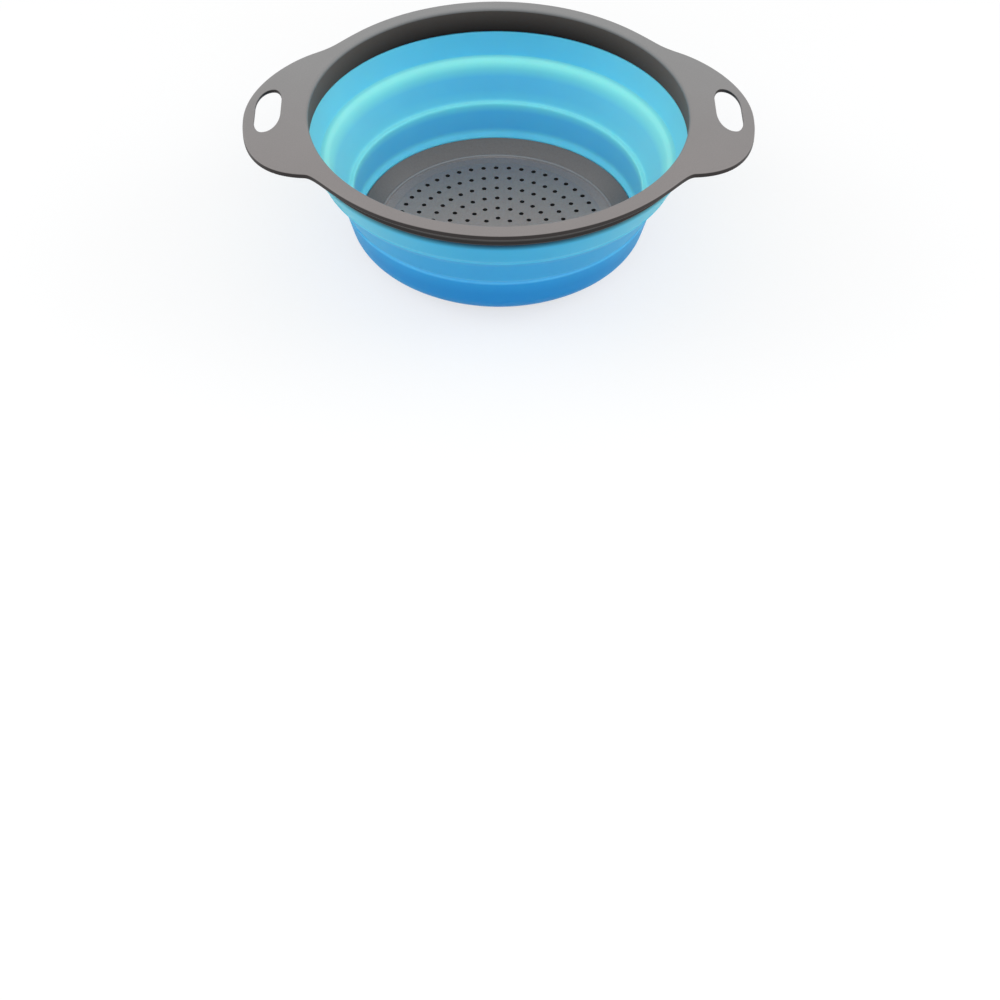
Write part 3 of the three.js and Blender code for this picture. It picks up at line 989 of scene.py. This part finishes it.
@dataclass
class StrainerBase:
    """Dished disc: a sloping edge, a fine raised ring, and a sagging floor with rings of drain holes."""

    finish: MouldedPolypropylene
    bore_finish: MouldedPolypropylene
    bead_finish: MouldedPolypropylene
    floor: float = 6.3
    underside: float = 4.1
    floor_radius: float = 58.5
    floor_end: Pair = (59.5, 4.0)
    edge: Corners = (
        (64.3, 7.55, 0.3), (64.8, 8.5, 0.35), (65.4, 8.8, 0.35), (65.9, 8.6, 0.2),
        (74.7, 13.95, 0.4), (74.9, 13.4, 0.2), (74.9, 11.3, 0.4),
    )
    underside_end: Pair = (61.0, 0.6)
    underside_radius: float = 60.0
    sag: float = 1.4
    sag_share_below: float = 0.5
    sag_fade: float = 6.0
    painted_cone_shade_radii: Pair = (65.5, 66.2)
    bead_radii: Pair = (64.6, 65.6)
    hole_radius: float = 1.22
    hole_rounding: float = 0.12
    hole_pitch: float = 9.2
    hole_rings: int = 6
    holes_per_first_ring: int = 8
    hole_turn_degrees: float = 0.55
    hole_offset: Pair = (0.5, 0.0)
    hole_sides: int = 16
    ring_points: int = 240
    dish_steps: int = 6
    sharp_degrees: float = 35.0

    def pattern_ring(self, ring: float, angles: Array) -> Array:
        """One ring of the hole pattern: pitch times the ring's number times (cos, sin) of each angle."""
        return self.hole_pitch * ring * circle_points(angles)

    def hole_centres(self) -> Array:
        """Centre hole, then rings of 8, 16 and so on, each with one hole at 90 degrees plus the turn.

        Returns:
            Plan points of the centres.
        """
        centres = [np.zeros((1, 2))]
        for ring in range(1, self.hole_rings + 1):
            angles = ring_angles(self.holes_per_first_ring * ring)
            centres.append(self.pattern_ring(ring, np.radians(90 + self.hole_turn_degrees) + angles))
        return np.vstack(centres) + self.hole_offset

    def free_points(self) -> Array:
        """Points between the holes: on rings halfway between theirs, and halfway along their rings.

        Returns:
            Plan points.
        """
        points = []
        for ring in range(1, self.hole_rings + 1):
            angles = ring_angles(self.holes_per_first_ring * ring)
            between = np.radians(90 + self.hole_turn_degrees) + angles + angles[1] / 2
            points += [self.pattern_ring(ring - 0.5, angles), self.pattern_ring(ring, between)]
        return np.vstack(points) + self.hole_offset

    def hole_walls(self) -> Array:
        """Points of each hole: centre + radius times (cos, sin), in four rings from the top face down.

        Returns:
            Points by hole, ring and side.
        """
        wide, narrow = self.hole_radius + self.hole_rounding, self.hole_radius
        top, bottom = self.floor, self.underside
        radius = np.array([wide, narrow, narrow, wide])[:, None, None]
        height = np.array([top, top - self.hole_rounding, bottom + self.hole_rounding, bottom])
        ring = circle_points(ring_angles(self.hole_sides))
        return at_height(self.hole_centres()[:, None, None] + radius * ring, height[:, None, None])

    def dish_section(self) -> Array:
        """Open section from the floor's edge out over the dish's edge and back under it.

        Returns:
            Radius and height of each point.
        """
        corners = (
            (self.floor_radius, self.floor, 0),
            (self.floor_end[0], self.floor, self.floor_end[1]),
            *self.edge,
            (self.underside_end[0], self.underside, self.underside_end[1]),
            (self.underside_radius, self.underside, 0),
        )
        return rounded(corners, self.dish_steps, closed=False)

    def sagged(self, points: Array) -> Array:
        """Sags the floor: height + sag * ((radius / floor radius)^2 - share below), fading beyond it.

        Args:
            points: Points of the flat one.

        Returns:
            Points of the dished disc.
        """
        radius = np.hypot(points[:, 0], points[:, 1])
        lift = self.sag * (np.minimum(radius / self.floor_radius, 1) ** 2 - self.sag_share_below)
        fade = 1 - np.clip((radius - self.floor_radius) / self.sag_fade, 0, 1)
        return at_height(points[:, :2], (points[:, 2] + lift * fade)[:, None])

    def build(self) -> None:
        """Makes the disc: its turned edge, the holes' walls, two pierced fills between them, the sag."""
        dish = self.dish_section()
        rim = revolved(dish, ring_angles(self.ring_points))
        walls = self.hole_walls()
        holes, rows, sides = walls.shape[:3]
        firsts = len(rim) + np.arange(holes)[:, None] * rows * sides
        faces = [band_faces(len(dish), self.ring_points, False)]
        faces.append((firsts[..., None] + band_faces(rows, sides, False)).reshape(-1, 4))
        free = self.free_points()
        loop_sizes = [self.ring_points] + [sides] * holes
        opening = (self.hole_radius + self.hole_rounding) * math.cos(math.pi / sides)
        points = np.vstack([rim, walls.reshape(-1, 3)])
        top_face = (0, 0, self.floor)
        bottom_face = (rows - 1, len(rim) - self.ring_points, self.underside)
        for row, rim_start, height in (top_face, bottom_face):
            on_rim = rim_start + np.arange(self.ring_points)
            on_holes = (firsts + row * sides + np.arange(sides)).ravel()
            between = len(points) + np.arange(len(free))
            numbers = np.concatenate([on_rim, on_holes, between])
            points = np.vstack([points, at_height(free, height)])
            fill = pierced_plate(points[numbers, :2], loop_sizes, self.hole_centres(), opening)
            faces.append(numbers[fill])
        points = self.sagged(points)
        piece = make_piece("perforated_base", points, faces, self.finish.make())
        radii = np.hypot(points[:, 0], points[:, 1])
        # Painted shade on the sloping edge beyond the floor.
        store(piece, self.finish.share_name, eased(radii, *self.painted_cone_shade_radii))
        middle = radii[faces[0]].mean(1)
        on_top = faces[0].min(1) < len(rim) // 2
        on_bead = on_top & (middle > self.bead_radii[0]) & (middle < self.bead_radii[1])
        bore, bead = 1, 2
        slots = [np.zeros(len(f), int) for f in faces]
        # The bead's pale finish is a painted highlight.
        slots[0][on_bead] = bead
        # The holes' walls take the near-black painted shade.
        slots[1][:] = bore
        dress_faces(piece, [self.bore_finish.make(), self.bead_finish.make()], slots)
        piece.data.set_sharp_from_angle(angle=math.radians(self.sharp_degrees))
        flat_normals_win(piece)
        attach(piece, Body.BASE.value)
        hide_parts("strainer_base")


@dataclass
class BaseRing:
    """Ring under the base that locks the silicone lip; its foot is notched so that water runs out."""

    finish: MouldedPolypropylene
    top: float = 4.0
    flange_top: float = 2.4
    flange_bottom: float = 1.1
    inner_radius: float = 57.5
    foot_radius: float = 60.0
    seat_radius: float = 61.0
    flange_radius: float = 63.2
    roundings: tuple[float, ...] = (0.3, 0.4, 0.4, 0.0, 0.3, 0.3, 0.0, 0.3)
    notch_width: float = 16.0
    notches: int = 4
    first_notch: float = math.pi / 4
    notch_slope: float = 0.4
    notch_ceiling: float = 1.05
    arc_steps: int = 4
    ring_points: int = 360

    def angles(self) -> Array:
        """Even angles, and four more at the walls of each notch, in order round the ring.

        Returns:
            Angles from small to large.
        """
        half = self.notch_width / 2 / self.foot_radius
        slope = self.notch_slope / self.foot_radius
        middles = self.first_notch + ring_angles(self.notches)
        walls = (middles[:, None] + np.array([-half - slope, -half, half, half + slope])).ravel()
        even = ring_angles(self.ring_points)
        clear = np.abs(even[:, None] - walls).min(1) > slope
        return np.sort(np.concatenate([even[clear], walls]))

    def build(self) -> None:
        """Makes the ring; in a notch its lowest points rise to just below the flange."""
        corners = (
            (self.inner_radius, self.top),
            (self.inner_radius, 0.0),
            (self.foot_radius, 0.0),
            (self.foot_radius, self.flange_bottom),
            (self.flange_radius, self.flange_bottom),
            (self.flange_radius, self.flange_top),
            (self.seat_radius, self.flange_top),
            (self.seat_radius, self.top),
        )
        section = rounded(with_roundings(corners, self.roundings), self.arc_steps)
        angle = self.angles()
        away = angle[:, None] - self.first_notch - ring_angles(self.notches)
        nearest = np.abs((away + np.pi) % (2 * np.pi) - np.pi).min(1)
        past_wall = nearest * self.foot_radius - self.notch_width / 2
        lowest = self.notch_ceiling * np.clip(1 - past_wall / self.notch_slope, 0, 1)
        points = revolved(section, angle)
        points[:, 2] = np.maximum(points[:, 2], np.tile(lowest, len(section)))
        faces = [band_faces(len(section), len(angle), True)]
        piece = make_piece("notched_foot_ring", points, faces, self.finish.make())
        flat_normals_win(piece)
        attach(piece, Body.BASE.value)
        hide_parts("base_ring")


# Studio


@dataclass
class PhotographCamera:
    """Camera at the photograph's place, from a fit to the rim, the wall rings and the rings of holes."""

    distance: float = 1233.39
    target_height: float = 82.5
    elevation_degrees: float = 34.017
    aim_below_degrees: float = 9.599
    roll_degrees: float = 0.545
    turn_degrees: float = -1.1
    focal_share: float = 2.3
    sensor_width: float = 36.0
    shift: float = 0.00506
    clip: Pair = (0.05, 50.0)

    def build(self) -> None:
        """Places the camera: it looks down by the elevation plus the extra aim, and rolls about that."""
        elevation = math.radians(self.elevation_degrees)
        down = math.radians(self.elevation_degrees + self.aim_below_degrees)
        data = bpy.data.cameras.new("photograph_camera")
        data.sensor_width = self.sensor_width
        data.lens = self.focal_share * self.sensor_width
        data.shift_x = self.shift
        data.clip_start, data.clip_end = self.clip
        camera = bpy.data.objects.new("photograph_camera", data)
        behind, above = self.distance * math.cos(elevation), self.distance * math.sin(elevation)
        place = Vector((0, -behind, self.target_height + above)) * METRES_PER_MM
        tilt = Matrix.Rotation(math.pi / 2 - down, 4, "X")
        roll = Matrix.Rotation(math.radians(self.roll_degrees), 4, "Z")
        round_bowl = Matrix.Rotation(math.radians(self.turn_degrees), 4, "Z")
        camera.matrix_world = round_bowl @ Matrix.Translation(place) @ (tilt @ roll)
        bpy.context.scene.collection.objects.link(camera)
        bpy.context.scene.camera = camera


@dataclass(frozen=True)
class SoftLamp:
    """Rectangular white softbox, its place and size in metres."""

    name: str
    place: Triple
    size: Pair
    watts: float

    def build(self, target: Vector) -> None:
        """Hangs the lamp and turns it to the target.

        Args:
            target: Point that the lamp faces, in metres.
        """
        data = bpy.data.lights.new(self.name, "AREA")
        data.shape = "RECTANGLE"
        data.size, data.size_y = self.size
        data.energy = self.watts
        lamp = bpy.data.objects.new(self.name, data)
        lamp.location = self.place
        lamp.visible_camera = False
        lamp.rotation_euler = (target - Vector(self.place)).to_track_quat("-Z", "Y").to_euler()
        bpy.context.scene.collection.objects.link(lamp)


@dataclass
class Studio:
    """Pale floor, soft lamps and a dim room that shows white to the camera and in reflections."""

    room: float = 0.7
    floor_radii: Pair = (750.0, 3000.0)
    floor_sides: int = 96
    floor_shade: float = 0.34
    floor_glow: float = 0.66
    floor_bounce: float = 0.75
    lamp_target: Triple = (0.0, 0.0, 0.05)
    lamps: tuple[SoftLamp, ...] = (
        SoftLamp("left_softbox", (-1.2, 0.1, 0.7), (0.9, 0.9), 4.5),
        SoftLamp("right_softbox", (1.2, 0.1, 0.7), (0.9, 0.9), 4.5),
        SoftLamp("front_softbox", (0.0, -1.15, 0.8), (1.0, 0.8), 5.0),
    )

    def seen(self, tree: Tree) -> Socket:
        """Gives 1 to a ray from the camera, a gloss or a glass, and 0 to the light on a matt surface.

        Args:
            tree: Node tree that gets the nodes.

        Returns:
            The level.
        """
        ray = add_node(tree, "LightPath", {})
        seen = ray.outputs["Is Camera Ray"]
        for kind in ("Is Glossy Ray", "Is Transmission Ray"):
            most = add_node(tree, "Math", {0: seen, 1: ray.outputs[kind]}, operation="MAXIMUM")
            seen = most.outputs["Value"]
        return seen

    def world(self) -> None:
        """Room light: white where the camera, a gloss or a glass sees it, dim as light on the object."""
        world = bpy.data.worlds.new("studio_room")
        world.use_nodes = True
        tree = world.node_tree
        tree.nodes.clear()
        level = {"Value": self.seen(tree), "To Min": self.room, "To Max": 1.0}
        strength = add_node(tree, "MapRange", level).outputs["Result"]
        white = {"Color": linear("#ffffff"), "Strength": strength}
        light = add_node(tree, "Background", white).outputs["Background"]
        add_node(tree, "OutputWorld", {"Surface": light})
        bpy.context.scene.world = world

    def paper(self) -> Material:
        """Plain pale paper as a source of bounce, and to the camera near white under a soft shadow.

        Returns:
            The material.
        """
        material, tree = empty_material("matt studio paper")
        bounce, shade = (
            add_node(tree, "BsdfDiffuse", {"Color": (grey, grey, grey, 1.0)}).outputs["BSDF"]
            for grey in (self.floor_bounce, self.floor_shade)
        )
        glow = add_node(tree, "Emission", {"Strength": self.floor_glow}).outputs["Emission"]
        pale = add_node(tree, "AddShader", {0: shade, 1: glow}).outputs["Shader"]
        mixed = add_node(tree, "MixShader", {0: self.seen(tree), 1: bounce, 2: pale})
        add_node(tree, "OutputMaterial", {"Surface": mixed.outputs["Shader"]})
        return material

    def floor(self) -> None:
        """Round floor: two rings, radius times (cos, sin) of each angle, and a point in the middle."""
        sides = self.floor_sides
        rings = revolved(np.array([(radius, 0) for radius in self.floor_radii]), ring_angles(sides))
        own = np.arange(sides)
        middle = np.stack([own, (own + 1) % sides, np.full(sides, len(rings))], -1)
        points = np.vstack([rings, np.zeros((1, 3))])
        faces = [band_faces(len(self.floor_radii), sides, False), middle]
        piece = make_piece("studio_floor", points, faces, self.paper())

    def build(self) -> None:
        """Sets the world, the floor and the lamps."""
        self.world()
        self.floor()
        for lamp in self.lamps:
            lamp.build(Vector(self.lamp_target))


def main() -> None:
    """Builds the colander round its frame and sets the studio."""
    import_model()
    PhotographCamera().build()
    bpy.context.scene.view_settings.view_transform = "Standard"
    # Satin skin off a fine-etched mould: the flange reads flat and even, with no sharp reflection; its
    # edges take a painted shade, and its back is painted a little lighter than its front.
    rim_grey = MouldedPolypropylene(
        "moulded polypropylene, warm grey with painted shade", "#868180", "#8b8b8b", "#211b1a", specular=0.35
    )
    # Painted shade: the skirt's near-black colour and low gloss stand in for the shade under the flange.
    skirt_painted_shade = MouldedPolypropylene(
        "moulded polypropylene, skirt in painted shade",
        "#9a847c",
        "#968880",
        "#1e1817",
        roughness=0.58,
        specular=0.12,
    )
    # Painted shade and highlight: the ring's near-black colour stands in for the shade under the flange,
    # its paler top for a highlight, and little gloss keeps it one quiet line.
    clamp_grey = MouldedPolypropylene(
        "moulded polypropylene, clamp ring in painted shade", "#242120", "#242120", "#4c4a49", specular=0.2
    )
    # Smoother mould with a coarse grain: the floor mirrors the wall as a soft haze and sparkles faintly;
    # its front is painted lighter and its sloping edge a painted shade darker.
    base_grey = MouldedPolypropylene(
        "moulded polypropylene, slate grey with painted light",
        "#9a8d88",
        "#7c7473",
        "#575453",
        front_back_shade_mm=(-5.0, 60.0),
        roughness=0.3,
        specular=0.8,
        grain_mm=1.0,
        grain_depth_mm=0.03,
        speckle=0.1,
    )
    # Walls drawn smooth by the mould's pins, near black as a painted shade: the holes look black until the
    # floor shows through them.
    bore_grey = MouldedPolypropylene("pin-moulded bores, painted shade", "#101112", "#101112", specular=0.2)
    # Painted highlight: the bead's pale colour stands in for the light its crest catches, so it shows as a
    # thin pale line round the floor.
    bead_grey = MouldedPolypropylene(
        "moulded polypropylene, bead with painted highlight", "#969291", "#969291", specular=0.12
    )
    # The plain satin skin again, a shade darker where the foot meets its own shadow.
    foot_grey = MouldedPolypropylene("moulded polypropylene, foot", "#6a6d70", "#707376")
    # Rubber with painted light in its stored colour: painted highlights on the shoulders and hinges, a
    # painted shadow under the ring, deep blue bands, a dull soft gloss.
    silicone = TintedSilicone("moulded silicone rubber, sky blue with painted light", "wall_colour_with_painted_light")
    for assembly in (
        RimFrame(rim_grey, skirt_painted_shade),
        ClampRing(clamp_grey),
        SiliconeBowl(silicone),
        StrainerBase(base_grey, bore_grey, bead_grey),
        BaseRing(foot_grey),
        Studio(),
    ):
        assembly.build()


if __name__ == "__main__":
    main()
